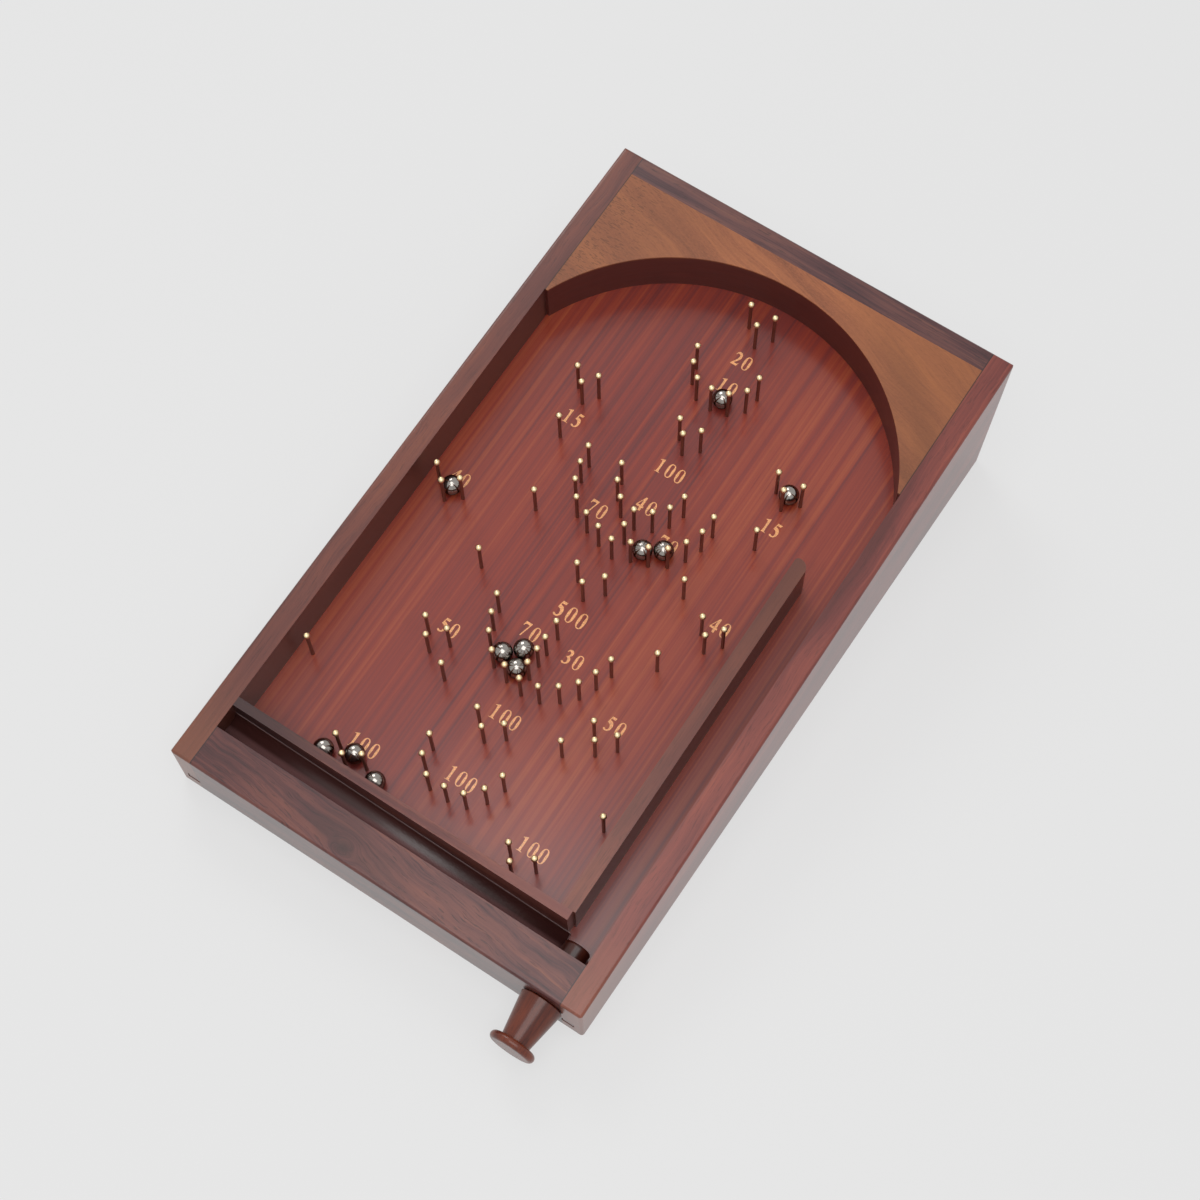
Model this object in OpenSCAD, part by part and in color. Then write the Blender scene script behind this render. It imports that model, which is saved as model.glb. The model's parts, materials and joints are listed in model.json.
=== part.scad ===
// Tabletop bagatelle board. A sloping case of solid rails holds a pinned
// playfield with a half-round arch at its head, a shooting lane down its right
// side, a ball trough behind the front rail and a sprung plunger.
//
// The board has its own axes: x to the right, y up the slope, z square to the
// slope, with z = 0 on the rail tops and the centre of the tops at 0, 0.
// on_board() sets those axes over the level ground. The part's origin is the
// centre of the level base.

/* [Case] */
// Width across the side rails
case_w = 203; // [195:1:225]
// Length of the sloping rail tops
case_l = 343.5; // [338:0.5:370]
// Height of the front face, square to the slope
front_h = 35; // [34:0.5:42]
// Slope of the rail tops and the playfield, in degrees
slope = 7.6; // [6:0.1:9]
// Thickness of the side rails
side_rail_t = 10; // [9:0.5:12]
// Thickness of the front rail, which houses the plunger
front_rail_t = 19; // [18:0.5:22]
// Thickness of the back rail
back_rail_t = 10.5; // [9:0.5:13]
// Radius worn and sanded onto the outer edges
edge_r = 1.4; // [0.8:0.1:2]
// Thickness of the base panel
base_t = 3.5; // [3:0.5:4]
// Width of the rabbet that the base panel sits in
rabbet_w = 6; // [5.5:0.5:7]
// Diameter of the dowels in the four corners
dowel_d = 4; // [3:0.5:4.5]
// Length of each dowel
dowel_l = 22; // [16:1:26]
// Depth of each dowel in its side rail
dowel_in_side = 6; // [4:0.5:7]

/* [Base screws] */
// Diameter of a screw's shank
screw_d = 2.4; // [2:0.1:2.8]
// Diameter of a screw's countersunk head
screw_head_d = 4.6; // [4:0.1:5]
// Length of a screw
screw_l = 9.5; // [8:0.5:10]
// Screws along each side rail
side_screws = 4; // [2:1:5]
// Screws along the back rail
back_screws = 2; // [2:1:4]
// Wood left above the side rails' first screws
screw_cover = 1; // [0.6:0.1:2]
// Least distance of the side rails' first screws from the front of the base
screw_front = 10; // [6:1:30]
// Distance of the side rails' last screws from the back of the base
screw_back = 30; // [15:1:60]

/* [Playfield] */
// Depth of the playfield below the rail tops
field_depth = 24; // [22:0.5:25]
// Thickness of the playfield panel
panel_t = 4; // [3.5:0.1:4.5]
// Depth of the panel's edge in the side rails
side_tongue = 6; // [4:0.5:7]
// Depth of the panel's edge in the front and back rails
end_tongue = 5; // [4:0.5:6]

/* [Arch] */
// Wood left behind the arch at its head
arch_cap = 10.7; // [8:0.1:14]
// How far the arch's circle runs past each side rail's inner face
arch_overrun = 6.5; // [4:0.5:9]
// Thickness of the arch block's two blunt tips
arch_tip = 1.4; // [1:0.1:2.5]
// Thickness of the veneer on the arch block
veneer_t = 0.8; // [0.6:0.1:1.5]

/* [Lane and trough] */
// Width of the shooting lane
lane_w = 15.5; // [15:0.5:17]
// Thickness of the rail beside the lane
lane_rail_t = 6.5; // [5:0.5:8]
// Length of the rail beside the lane, with its rounded end
lane_rail_l = 179.8; // [150:0.1:185]
// Rounding of that end on the lane's side
lane_nose_r = 4.5; // [3.5:0.1:4.8]
// Width of the ball trough
trough_w = 11.2; // [10.5:0.1:12]
// Flat land on each side of the trough's cove
trough_land = 0.4; // [0.3:0.1:0.6]
// Depth of the cove below the rail tops at its closed left end
trough_start = 12.4; // [11:0.1:14]
// Wood left under the cove at its open right end
trough_floor = 2; // [1.5:0.1:3]
// Wood left beyond the cove's closed end
trough_wall = 0.8; // [0.6:0.1:1.5]
// Thickness of the ball stop between trough and playfield
stop_t = 4.2; // [3.5:0.1:5]
// How far the ball stop ends short of the lane
stop_short = 1.2; // [0.5:0.1:2]

/* [Plunger] */
// Wood left between the plunger's bore and the playfield panel
bore_land = 2.5; // [1.5:0.1:3]
// How far the plunger's axis lies left of the lane's middle
plunger_aside = 1.1; // [0:0.1:1.2]
// Depth of the spring's bore in the front rail
bore_depth = 15; // [13:0.5:16]
// Diameter of the striker
striker_d = 12; // [11:0.1:12.5]
// How far the striker stands out of the front rail at rest
striker_out = 7.3; // [5:0.1:8]
// How deep the striker sits in the bore at rest
striker_in = 3; // [2:0.1:3.5]
// Rounding of the striker's nose
striker_r = 1.2; // [0.5:0.1:2]
// Room around the striker in the bore
bore_play = 0.5; // [0.4:0.1:0.8]
// Diameter of the rod
rod_d = 4; // [3:0.1:4.5]
// Running clearance around the rod, on the radius
rod_play = 0.05; // [0.03:0.01:0.1]
// Depth of the rod in the knob
rod_in_knob = 14; // [8:0.5:18]
// Depth of the rod in the striker
rod_in_striker = 6; // [4:0.5:7]
// Space between the knob and the front face at rest
knob_gap = 0.2; // [0.1:0.1:0.4]
// Length of the knob
knob_l = 23.5; // [21:0.5:28]
// Diameter of the knob where it meets the front face
knob_base_d = 19.2; // [16:0.1:21]
// Bevel on the knob's edge at the front face
knob_bevel = 0.6; // [0.4:0.1:1]
// Diameter of the knob's cone where it meets the flange
knob_neck_d = 12.2; // [10:0.1:14]
// Diameter of the knob's flange
knob_flange_d = 20.8; // [18:0.1:22]
// Thickness of the flange, which is the diameter of its round rim
knob_flange_t = 3.8; // [3:0.1:4.5]

/* [Plunger spring] */
// Diameter of the spring's wire
wire_d = 0.9; // [0.7:0.1:1]
// Outer diameter of the spring
spring_d = 9.6; // [8.5:0.1:10.5]
// Turns of the spring
spring_turns = 4.5; // [3.5:0.5:4.5]
// Space between the spring's ends and their seats
spring_seat = 0.1; // [0.05:0.05:0.3]

/* [Pins] */
// Diameter of a pin
pin_d = 1.6; // [1.4:0.1:1.8]
// Diameter of a pin's domed head
pin_head_d = 3; // [2.6:0.1:3.2]
// Height of a pin's top above the playfield
pin_h = 23; // [20:0.1:23.5]
// Depth of the cone under a pin's head
pin_neck = 0.7; // [0.4:0.1:1]
// Depth of a pin in the panel
pin_set = 3; // [2.5:0.1:3.2]
// Clearance of a pin in its hole, on the radius
pin_fit = 0.03; // [0.02:0.01:0.05]

/* [Balls] */
// Diameter of a ball
ball_d = 9; // [8:0.1:9.2]
// Space under and between the resting balls, and between a ball and a head
ball_gap = 0.2; // [0.15:0.05:0.3]

/* [Hidden] */
$fn = 48;

// Slack in the glued and pressed joints of the woodwork
glue_gap = 0.05;
// Height of the cove's axis above the trough's lands
cove_lift = 0.05;
// Overlap of cutting shapes past the face that they cut
past = 1;

// Case, in the board's axes
half_l = case_l / 2;
half_in = case_w / 2 - side_rail_t;
front_in = -half_l + front_rail_t;
stop_front = front_in + trough_w;
stop_back = stop_front + stop_t;
lane_left = half_in - lane_w;
back_low_y = half_l * cos(2 * slope) - front_h * sin(2 * slope) / 2;
back_low_z = ground_z(back_low_y);
panel_back = back_in(-field_depth) + end_tongue;

// Case, in the level axes
lift = half_l * sin(slope) + front_h * cos(slope);
shift = -front_h * sin(slope) / 2;
level_back = half_l * cos(slope) + shift;
level_front_in = level_y(front_in, ground_z(front_in));
base_front = level_front_in - rabbet_w;
base_back = level_back - back_rail_t + rabbet_w;
screw_inset = rabbet_w / 2;
screw_first_y = ((screw_l + screw_cover) / cos(slope) + field_depth + panel_t - front_h) / tan(slope) - half_l;
screw_first = max(level_y(screw_first_y, ground_z(screw_first_y)), base_front + screw_front);
screw_last = base_back - screw_back;
screw_slot_w = 0.6;
screw_slot_depth = 0.7;

// Arch
arch_r = half_in + arch_overrun;
arch_y = back_in(0) - arch_cap - arch_r;
arch_tip_y = arch_y + sqrt(pow(arch_r, 2) - pow(half_in - arch_tip, 2));

// Ball trough
cove_r = trough_w / 2 - trough_land;
trough_l = half_in + lane_left;
trough_tilt = atan((field_depth - trough_floor - trough_start) / trough_l);
trough_low = -field_depth + trough_floor + cove_r / cos(trough_tilt);
trough_high = -trough_start + cove_r / cos(trough_tilt);
cove_l = (trough_l - trough_wall - cove_r) / cos(trough_tilt);

// Plunger, measured along its axis from the front face
bore_r = striker_d / 2 + bore_play;
plunger_x = half_in - lane_w / 2 - plunger_aside;
plunger_z = -field_depth + bore_r + bore_land;
striker_l = striker_out + striker_in;
spring_l = bore_depth - striker_in;
knob_flange_at = knob_l - knob_flange_t;

// Pin plan. It is drawn for the field, measured in the board's axes, and the
// ball that these values name, and spot() and grow carry it onto the real ones.
plan_x = [-91.5, 69.5];
plan_y = [-137.3, 150.3];
plan_ball_d = 9;
field_x = [-half_in, lane_left - lane_rail_t];
field_y = [stop_back, arch_y + arch_r];
grow = ball_d / plan_ball_d;

// Pins: a pocket is a vee of three or an arc; a wander list holds how far each
// hand-driven pin of an arc stands outside it
head_r = pin_head_d / 2;
pins_20 = vee(-4.8, 135, 12.5, 7.3, 1.2);
pins_10 = arc(-4.5, 106, 15.6, 184, 361, 7, [0, 0, 0.5, -0.3, 0.3, 0.8, 0]);
pins_15_left = vee(-53.8, 68.5, 10.5, 6, 0.5, 0.7);
pins_15_right = vee(48.2, 72.5, 12.4, 6);
pins_100_top = vee(-2, 71, 11, 5.5, -0.5);
pins_cup_outer = arc(-2, 39, 31.8, 181, 361, 13, [0, 0, 0.8, 1, -0.5, -1, 0, -2, -1, 0.4, 0.4, 0.4, 0]);
pins_cup_inner = arc(-1.5, 39.6, 15.7, 181, 364, 7, [0, -0.6, 0, 0, -1, -1, 0]);
pins_40_left = vee(-78, -4.3, 12.6, 5.5, 0, -0.7);
pins_40_right = vee(55.5, -1.5, 10.7, 6.5);
pins_500 = vee(-1, -9.3, 13.3, 6.7, 0, 1.2);
pins_70_30_arc = arc(0, -38, 28.4, 184, 359, 11, [0, -0.8, -0.3, 0.6, -0.5, 0, 0.2, -0.6, -0.6, -0.9, 0]);
pins_70_30_row = [for (down = [-1.3, 7.2, 13.4, 20.5]) spot(0, -38) - grow * [0.3, down]];
pins_70_30 = concat(pins_70_30_arc, pins_70_30_row);
pins_50_left = vee(-42.6, -64.6, 11, 7, -0.5);
pins_50_right = vee(43, -65, 11.6, 6.8, -1);
pins_100_mid = vee(0, -86.3, 13.5, 6, -0.5);
pins_100_cup = arc(0.5, -105.5, 17.3, 184, 361, 7, [0, 0.6, 1, -0.8, 0, 0, 1]);
pins_100_left = vee(-42.2, -128.5, 14.2, 5, 0, -1.5);
pins_100_right = vee(43, -127.2, 12.7, 6.4, -1.5);
pins_single = [
    spot(-52.4, 43.4), spot(48.4, 44.4), spot(-0.6, 15.9), spot(-41.9, 8.3), spot(34.7, 8.5),
    spot(-46.5, -27.1), spot(43.2, -25.6), spot(-30.4, -78.5), spot(30.5, -79.6),
    spot(-84.6, -99.5), spot(63, -97.2)
];
all_pins = concat(
    pins_20, pins_10, pins_15_left, pins_15_right, pins_100_top, pins_cup_outer,
    pins_cup_inner, pins_40_left, pins_40_right, pins_500, pins_70_30, pins_50_left,
    pins_50_right, pins_100_mid, pins_100_cup, pins_100_left, pins_100_right, pins_single
);

// Balls: each rests on pins, on balls or on the ball stop, just clear of a
// pin's head, so that it also lifts straight out
near_pin = ball_d / 2 + head_r + ball_gap;
near_ball = ball_d + ball_gap;
on_stop = stop_back + ball_d / 2 + ball_gap;
ball_1_at = seat(pins_10[3], near_pin, pins_10[4], near_pin);
ball_2_at = over(pins_40_left);
ball_3_at = over(pins_15_right);
ball_4_at = seat(pins_cup_outer[7], near_pin, pins_cup_outer[8], near_pin);
ball_5_at = seat(ball_4_at, near_ball, pins_cup_outer[9], near_pin);
ball_6_at = seat(pins_70_30_arc[2], near_pin, pins_70_30_arc[3], near_pin);
ball_8_at = seat(pins_70_30_arc[4], near_pin, pins_70_30_row[3], near_pin);
ball_7_at = seat(ball_6_at, near_ball, ball_8_at, near_ball);
ball_9_at = [spot(-54.5, 0)[0], on_stop];
ball_10_at = over(pins_100_left);
ball_11_at = [spot(-28, 0)[0], on_stop];

// Spring
spring_sides = 6;
spring_rings = 8;
spring_r = (spring_d - wire_d) / 2;
spring_steps = spring_turns * spring_rings;
spring_rise = (spring_l - 2 * spring_seat - wire_d) / spring_steps;
spring_line = [for (i = [0:spring_steps]) spring_at(i)];
spring_least_gap = min([
    for (i = [0:spring_steps - spring_rings / 2], j = [i + spring_rings / 2:spring_steps])
        norm(spring_line[i] - spring_line[j]) - wire_d
]);
echo(spring_least_gap = spring_least_gap);

// Depth of the level ground below the rail tops, at y in the board's axes
function ground_z(y) = -front_h - (y + half_l) * tan(slope);

// Level place of a point of the board's side view
function level_y(y, z) = y * cos(slope) - z * sin(slope) + shift;

// Place of the back rail's upright inner face, at z in the board's axes
function back_in(z) = half_l - back_rail_t / cos(slope) + z * tan(slope);

// Place on the real field of a place on the pin plan
function spot(x, y) = [carry(x, plan_x, field_x), carry(y, plan_y, field_y)];
function carry(v, from, to) = to[0] + (v - from[0]) * (to[1] - to[0]) / (from[1] - from[0]);

// Three pins of a pocket: its mouth is w wide, its low pin d down the slope
function vee(x, y, w, d, lean = 0, tilt = 0) = [
    for (pin = [[-w / 2, -tilt / 2], [w / 2, tilt / 2], [lean, -d]]) spot(x, y) + grow * pin
];

// Pins along an arc, n of them from angle a0 to a1
function arc(x, y, r, a0, a1, n, wander) = [
    for (i = [0:n - 1])
        spot(x, y) + grow * (r + wander[i]) * heading(a0 + (a1 - a0) * i / (n - 1))
];
function heading(a) = [cos(a), sin(a)];

// Point at distance ra from a and rb from b, on the uphill side of a to b
function seat(a, ra, b, rb) =
    let (
        d = norm(b - a),
        along = (ra * ra - rb * rb + d * d) / (2 * d),
        up = sqrt(ra * ra - along * along),
        dir = (b - a) / d
    )
    a + along * dir + up * [-dir[1], dir[0]];

// A ball's place over the low pin of a vee
function over(pocket) = pocket[2] + [0, near_pin];

// Point i of the spring's centre line, which climbs along z from its seat
function spring_at(i) = [
    spring_r * cos(i * 360 / spring_rings),
    spring_r * sin(i * 360 / spring_rings),
    spring_seat + wire_d / 2 + i * spring_rise
];

// The board's axes over the level ground
module on_board() {
    translate([0, shift, lift])
        rotate([slope, 0, 0])
            children();
}

// The level axes, inside on_board()
module level() {
    rotate([-slope, 0, 0])
        translate([0, -shift, -lift])
            children();
}

// Side view, drawn in y and z, carried from x0 to x1
module along_x(x0, x1) {
    translate([x0, 0, 0])
        rotate([90, 0, 90])
            linear_extrude(x1 - x0)
                children();
}

// Plunger's axis, with z running out through the front face
module on_plunger() {
    translate([plunger_x, -half_l, plunger_z])
        rotate([90, 0, 0])
            children();
}

// Cutter that eases a long edge between two faces at an angle; the wood lies
// along -x and turns that angle from there
module ease(l, angle = 90) {
    t = edge_r / tan(angle / 2);
    low = t * [-cos(angle), -sin(angle)];
    out = past * [sin(angle), -cos(angle)];
    linear_extrude(l, center = true)
        difference() {
            polygon([[-t, -edge_r], [-t, 0], [-t, past], [1.2 * past, past], low + out, low]);
            translate([-t, -edge_r])
                circle(edge_r);
        }
}

module case_side() {
    polygon([[-half_l, 0], [half_l, 0], [back_low_y, back_low_z], [-half_l, -front_h]]);
}

module back_rail_side() {
    inner_step = back_rail_t * [-cos(slope), sin(slope)];
    polygon([[half_l, 0], [back_low_y, back_low_z], [back_low_y, back_low_z] + inner_step, [back_in(0), 0]]);
}

// Panel that the playfield is cut from; slack widens the grooves that hold it
module panel_slab(slack = 0, run_out = 0) {
    y0 = front_in - end_tongue - slack - run_out;
    y1 = panel_back + slack;
    half_w = half_in + side_tongue + slack;
    translate([-half_w, y0, -field_depth - panel_t - slack])
        cube([2 * half_w, y1 - y0, panel_t + 2 * slack]);
}

// Level slab of the base; slack widens the rabbet
module base_slab(slack = 0) {
    half_w = half_in + rabbet_w + slack;
    translate([-half_w, base_front - slack, 0])
        cube([2 * half_w, base_back - base_front + 2 * slack, base_t + slack]);
}

module base_rabbet() {
    translate([0, 0, -past])
        base_slab(glue_gap);
    base_slab(glue_gap);
}

module dowel_pair_front(slack = 0) {
    y = (-half_l + front_in - end_tongue) / 2;
    inset = dowel_d / 2 + 3.5;
    for (z = [-inset, -front_h + inset])
        translate([half_in + dowel_in_side + slack - dowel_l - 2 * slack, y, z])
            rotate([0, 90, 0])
                cylinder(h = dowel_l + 2 * slack, d = dowel_d + 2 * slack);
}

module dowel_pair_back(slack = 0) {
    back_h = lift + half_l * sin(slope);
    for (z = [back_h / 4, back_h * 3 / 4 + 8])
        translate([half_in + dowel_in_side + slack - dowel_l - 2 * slack, level_back - back_rail_t / 2, z])
            rotate([0, 90, 0])
                cylinder(h = dowel_l + 2 * slack, d = dowel_d + 2 * slack);
}

// Both corners of one side, or of both
module dowels(slack = 0) {
    for (side = [0, 1])
        mirror([side, 0, 0]) {
            on_board()
                dowel_pair_front(slack);
            dowel_pair_back(slack);
        }
}

module screw_places() {
    step = (screw_last - screw_first) / (side_screws - 1);
    for (side = [-1, 1], i = [0:side_screws - 1])
        translate([side * (half_in + screw_inset), screw_first + step * i, 0])
            children();
    for (i = [1:back_screws])
        translate([half_in * (2 * i / (back_screws + 1) - 1), base_back - screw_inset, 0])
            children();
}

module screw_body(slack = 0) {
    cone_h = (screw_head_d - screw_d) / 2;
    translate([0, 0, -slack])
        cylinder(h = cone_h + slack, d1 = screw_head_d + 2 * slack, d2 = screw_d + 2 * slack);
    cylinder(h = screw_l - screw_d / 2, d = screw_d + 2 * slack);
    translate([0, 0, screw_l - screw_d / 2])
        cylinder(h = screw_d / 2 + slack, d1 = screw_d + 2 * slack, d2 = 0.4);
}

module screw() {
    difference() {
        screw_body();
        translate([-screw_head_d / 2 - past, -screw_slot_w / 2, -past])
            cube([screw_head_d + 2 * past, screw_slot_w, screw_slot_depth + past]);
    }
}

module screw_holes() {
    screw_places()
        screw_body(glue_gap);
}

// The right side rail, in the level axes
module side_rail() {
    difference() {
        on_board()
            difference() {
                along_x(half_in, case_w / 2)
                    case_side();
                panel_slab(glue_gap, front_rail_t);
                translate([case_w / 2, 0, 0])
                    rotate([90, 0, 0])
                        ease(case_l + 2 * past);
                translate([case_w / 2, -half_l, 0])
                    rotate([0, 0, -90])
                        ease(3 * front_h);
                translate([half_in, half_l, 0])
                    rotate([90, 0, 90])
                        ease(4 * side_rail_t, 90 - slope);
                translate([half_in, -half_l, 0])
                    mirror([0, 1, 0])
                        rotate([90, 0, 90])
                            ease(4 * side_rail_t);
            }
        translate([case_w / 2, level_back, 0])
            ease(4 * front_h * 2);
        base_rabbet();
        dowels(glue_gap);
        screw_holes();
    }
}

module left_rail() {
    color("saddlebrown")
        mirror([1, 0, 0])
            side_rail();
}

module right_rail() {
    color("saddlebrown")
        side_rail();
}

module front_rail() {
    color("sienna")
        difference() {
            on_board()
                difference() {
                    along_x(-half_in, half_in)
                        intersection() {
                            case_side();
                            translate([-half_l, -2 * front_h])
                                square([front_rail_t, 3 * front_h]);
                        }
                    panel_slab(glue_gap);
                    translate([0, -half_l, 0])
                        mirror([0, 1, 0])
                            rotate([90, 0, 90])
                                ease(case_w);
                    on_plunger()
                        plunger_bore();
                }
            base_rabbet();
            dowels(glue_gap);
        }
}

module plunger_bore() {
    translate([0, 0, -front_rail_t - past])
        cylinder(h = bore_depth + past, r = bore_r);
    translate([0, 0, -front_rail_t])
        cylinder(h = front_rail_t + past, d = rod_d + 2 * rod_play);
}

module back_rail() {
    color("rosybrown")
        difference() {
            on_board()
                difference() {
                    along_x(-half_in, half_in)
                        back_rail_side();
                    panel_slab(glue_gap);
                    translate([0, half_l, 0])
                        rotate([90, 0, 90])
                            ease(case_w, 90 - slope);
                }
            base_rabbet();
            dowels(glue_gap);
            screw_holes();
        }
}

module base_panel() {
    color("burlywood")
        difference() {
            base_slab();
            screw_holes();
        }
}

module base_screws() {
    color("silver")
        screw_places()
            screw();
}

module frame_dowels() {
    color("tan")
        dowels();
}

module playfield() {
    color("firebrick")
        on_board()
            difference() {
                panel_slab();
                for (p = all_pins)
                    translate([p[0], p[1], -field_depth - pin_set])
                        cylinder(h = pin_set + past, d = pin_d + 2 * pin_fit);
            }
}

// Plan of the block: square outside, round inside
module arch_plan() {
    difference() {
        translate([-half_in, arch_tip_y])
            square([2 * half_in, half_l - arch_tip_y]);
        translate([0, arch_y])
            circle(arch_r, $fn = 180);
    }
}

// Layer of the arch between two heights, cut to the back rail's upright face
module arch_layer(z0, z1) {
    on_board()
        intersection() {
            translate([0, 0, z0])
                linear_extrude(z1 - z0)
                    arch_plan();
            along_x(-half_in, half_in)
                polygon([
                    [arch_tip_y - past, past], [back_in(past), past],
                    [back_in(-field_depth - past), -field_depth - past],
                    [arch_tip_y - past, -field_depth - past]
                ]);
        }
}

module arch_block() {
    color("brown")
        arch_layer(-field_depth, -veneer_t);
}

module arch_veneer() {
    color("peru")
        arch_layer(-veneer_t, 0);
}

// The rail's free end is eased by a small arc on the field's side and a large
// one on the lane's
module lane_rail() {
    left = lane_left - lane_rail_t;
    small_r = lane_rail_t - lane_nose_r;
    tip = stop_back + lane_rail_l;
    color("olivedrab")
        on_board()
            translate([0, 0, -field_depth])
                linear_extrude(field_depth) {
                    translate([left, stop_back])
                        square([lane_rail_t, lane_rail_l - lane_nose_r]);
                    translate([left, stop_back])
                        square([small_r, lane_rail_l - small_r]);
                    translate([left + small_r, tip - small_r])
                        circle(small_r);
                    translate([left + small_r, tip - lane_nose_r])
                        intersection() {
                            circle(lane_nose_r);
                            square(lane_nose_r + past);
                        }
                }
}

module ball_stop() {
    color("rosybrown")
        on_board()
            translate([-half_in, stop_front, -field_depth])
                cube([half_in + lane_left - stop_short, stop_t, field_depth]);
}

// The trough falls from its closed left end to its open right one, so that the
// balls in it roll into the lane
module ball_trough() {
    color("maroon")
        on_board()
            difference() {
                translate([0, stop_front, 0])
                    rotate([90, 0, 0])
                        linear_extrude(trough_w)
                            polygon([[-half_in, -field_depth], [lane_left, -field_depth],
                                [lane_left, trough_low - cove_lift], [-half_in, trough_high - cove_lift]]);
                translate([lane_left, front_in + trough_w / 2, trough_low])
                    rotate([0, trough_tilt - 90, 0])
                        rotate_extrude() {
                            translate([0, -past])
                                square([cove_r, cove_l + past]);
                            translate([0, cove_l])
                                intersection() {
                                    circle(cove_r);
                                    square(cove_r + past);
                                }
                        }
            }
}

// Outline of the knob: radius across, distance from the front face up
module knob_outline() {
    base_r = knob_base_d / 2;
    flange_r = knob_flange_d / 2;
    rim_r = knob_flange_t / 2;
    cone_end = knob_flange_at + rim_r;
    polygon([[0, 0], [base_r - knob_bevel, 0], [base_r, knob_bevel],
        [knob_neck_d / 2, cone_end], [0, cone_end]]);
    translate([0, knob_flange_at])
        square([flange_r - rim_r, knob_flange_t]);
    intersection() {
        translate([flange_r - rim_r, knob_flange_at + rim_r])
            circle(rim_r);
        translate([0, knob_flange_at])
            square([flange_r + past, knob_flange_t]);
    }
}

module plunger_knob() {
    color("darkred")
        on_board()
            on_plunger()
                translate([0, 0, knob_gap])
                    difference() {
                        rotate_extrude()
                            knob_outline();
                        translate([0, 0, -past])
                            cylinder(h = rod_in_knob + past, d = rod_d + 2 * glue_gap);
                    }
}

module plunger_rod() {
    inner_end = front_rail_t - striker_in + rod_in_striker;
    color("gray")
        on_board()
            on_plunger()
                translate([0, 0, -inner_end])
                    cylinder(h = inner_end + knob_gap + rod_in_knob, d = rod_d);
}

module plunger_striker() {
    striker_r_at = striker_d / 2 - striker_r;
    color("saddlebrown")
        on_board()
            on_plunger()
                translate([0, 0, -front_rail_t + striker_in])
                    difference() {
                        mirror([0, 0, 1])
                            rotate_extrude() {
                                square([striker_d / 2, striker_l - striker_r]);
                                square([striker_r_at, striker_l]);
                                intersection() {
                                    translate([striker_r_at, striker_l - striker_r])
                                        circle(striker_r);
                                    square([striker_d, striker_l + past]);
                                }
                            }
                        translate([0, 0, -rod_in_striker])
                            cylinder(h = rod_in_striker + past, d = rod_d + 2 * glue_gap);
                    }
}

// One unbroken wire: rings of points square to the helix, and its two ends
module plunger_spring() {
    climb = atan(spring_rise * spring_rings / (2 * PI * spring_r));
    points = [
        for (i = [0:spring_steps], k = [0:spring_sides - 1])
            let (
                turn = i * 360 / spring_rings,
                a = k * 360 / spring_sides,
                out = [cos(turn), sin(turn), 0],
                up = [sin(turn) * sin(climb), -cos(turn) * sin(climb), cos(climb)]
            )
            spring_line[i] + wire_d / 2 * (cos(a) * out + sin(a) * up)
    ];
    last = spring_steps * spring_sides;
    sides = [
        for (i = [0:spring_steps - 1], k = [0:spring_sides - 1], half = [0, 1])
            let (
                a = i * spring_sides + k,
                b = i * spring_sides + (k + 1) % spring_sides
            )
            half == 0 ? [a, a + spring_sides, b] : [b, a + spring_sides, b + spring_sides]
    ];
    ends = [
        for (k = [1:spring_sides - 2], end = [0, 1])
            end == 0 ? [0, k, k + 1] : [last, last + k + 1, last + k]
    ];
    color("silver")
        on_board()
            on_plunger()
                translate([0, 0, -front_rail_t + striker_in])
                    polyhedron(points, concat(sides, ends), convexity = 6);
}

// A round pin with a domed head, from the playfield's face
module pin() {
    head_at = pin_h - head_r;
    rotate_extrude() {
        translate([0, -pin_set])
            square([pin_d / 2, pin_set + head_at]);
        polygon([[0, head_at - pin_neck], [pin_d / 2, head_at - pin_neck], [head_r, head_at], [0, head_at]]);
        intersection() {
            translate([0, head_at])
                circle(head_r);
            translate([0, head_at])
                square([pin_head_d, pin_head_d]);
        }
    }
}

module pins(places) {
    color("goldenrod")
        on_board()
            for (p = places)
                translate([p[0], p[1], -field_depth])
                    pin();
}

module ball(place) {
    color("silver")
        on_board()
            translate([place[0], place[1], -field_depth + ball_gap + ball_d / 2])
                sphere(d = ball_d);
}

left_rail();
right_rail();
front_rail();
back_rail();
base_panel();
base_screws();
frame_dowels();
playfield();
arch_block();
arch_veneer();
lane_rail();
ball_stop();
ball_trough();
plunger_knob();
plunger_rod();
plunger_striker();
plunger_spring();
pins(pins_20);
pins(pins_10);
pins(pins_15_left);
pins(pins_15_right);
pins(pins_100_top);
pins(pins_cup_outer);
pins(pins_cup_inner);
pins(pins_40_left);
pins(pins_40_right);
pins(pins_500);
pins(pins_70_30);
pins(pins_50_left);
pins(pins_50_right);
pins(pins_100_mid);
pins(pins_100_cup);
pins(pins_100_left);
pins(pins_100_right);
pins(pins_single);
ball(ball_1_at);  // ball_1
ball(ball_2_at);  // ball_2
ball(ball_3_at);  // ball_3
ball(ball_4_at);  // ball_4
ball(ball_5_at);  // ball_5
ball(ball_6_at);  // ball_6
ball(ball_7_at);  // ball_7
ball(ball_8_at);  // ball_8
ball(ball_9_at);  // ball_9
ball(ball_10_at);  // ball_10
ball(ball_11_at);  // ball_11
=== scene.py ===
"""Bagatelle board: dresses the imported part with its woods, brass, steel and painted numerals,
and sets it on a plain pale floor under soft studio light. Metres, in the part's own frame."""

import json
import math

import bpy
from bpy.props import FloatProperty, FloatVectorProperty, IntProperty, PointerProperty
from mathutils import Matrix, Vector


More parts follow.
